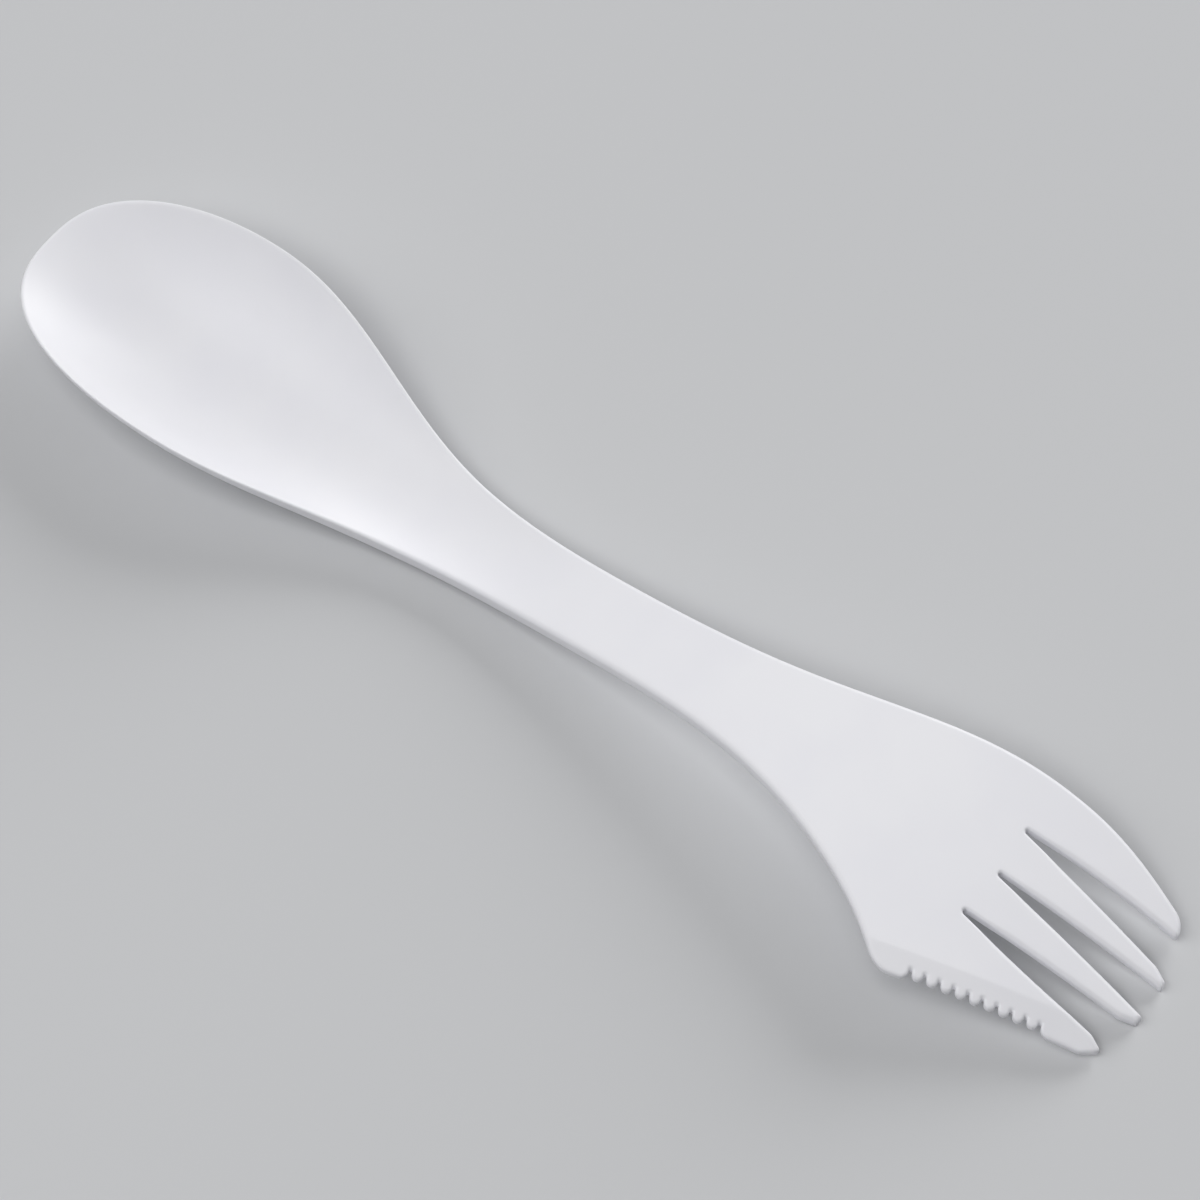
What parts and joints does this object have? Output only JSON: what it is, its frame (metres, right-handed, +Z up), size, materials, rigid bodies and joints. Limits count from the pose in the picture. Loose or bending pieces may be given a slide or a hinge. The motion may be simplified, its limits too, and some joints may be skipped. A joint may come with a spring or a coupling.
{
  "type": "spork",
  "caption": "Moulded plastic spork with a spoon bowl at one end, a slim waisted handle and a tined fork with a serrated, bevelled cutting edge at the other.",
  "frame": {"origin": "centre of the bounding box at its base, on the table under the spork", "axes": "+X along the length from the tip of the bowl to the tines, +Y away from the side with the cutting edge, +Z up, out of the open bowl"},
  "size_m": [0.17, 0.0342, 0.0114],
  "materials": {
    "body": "satin moulded, slightly cool white"
  },
  "bodies": {
    "root": {"spork_body": "body"}
  },
  "joints": []
}
